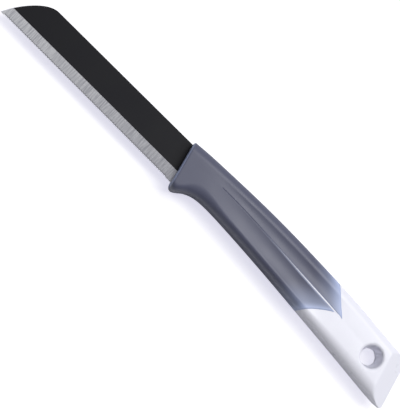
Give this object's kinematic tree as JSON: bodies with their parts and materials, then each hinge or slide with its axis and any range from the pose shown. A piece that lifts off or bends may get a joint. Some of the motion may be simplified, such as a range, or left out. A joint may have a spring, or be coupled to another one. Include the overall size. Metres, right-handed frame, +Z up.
{
  "type": "tomato knife",
  "caption": "Short tomato knife with a finely toothed sheepsfoot blade, moulded into a two-colour handle with a grip ridge and a hanging hole.",
  "frame": {"origin": "middle of the bounding box in plan, at the lowest point of the handle, with the knife lying on its side", "axes": "+X from the blade's point to the handle's tail, +Y from the cutting edge to the spine, +Z up through the handle's thickness"},
  "size_m": [0.1952, 0.0226, 0.012],
  "materials": {
    "coated_steel": "satin black coating with a bare ground bevel",
    "white_plastic": "smooth semi-gloss",
    "grey_plastic": "soft satin"
  },
  "bodies": {
    "root": {"blade": "coated_steel", "handle_core": "white_plastic", "grip_cover": "grey_plastic"}
  },
  "joints": []
}
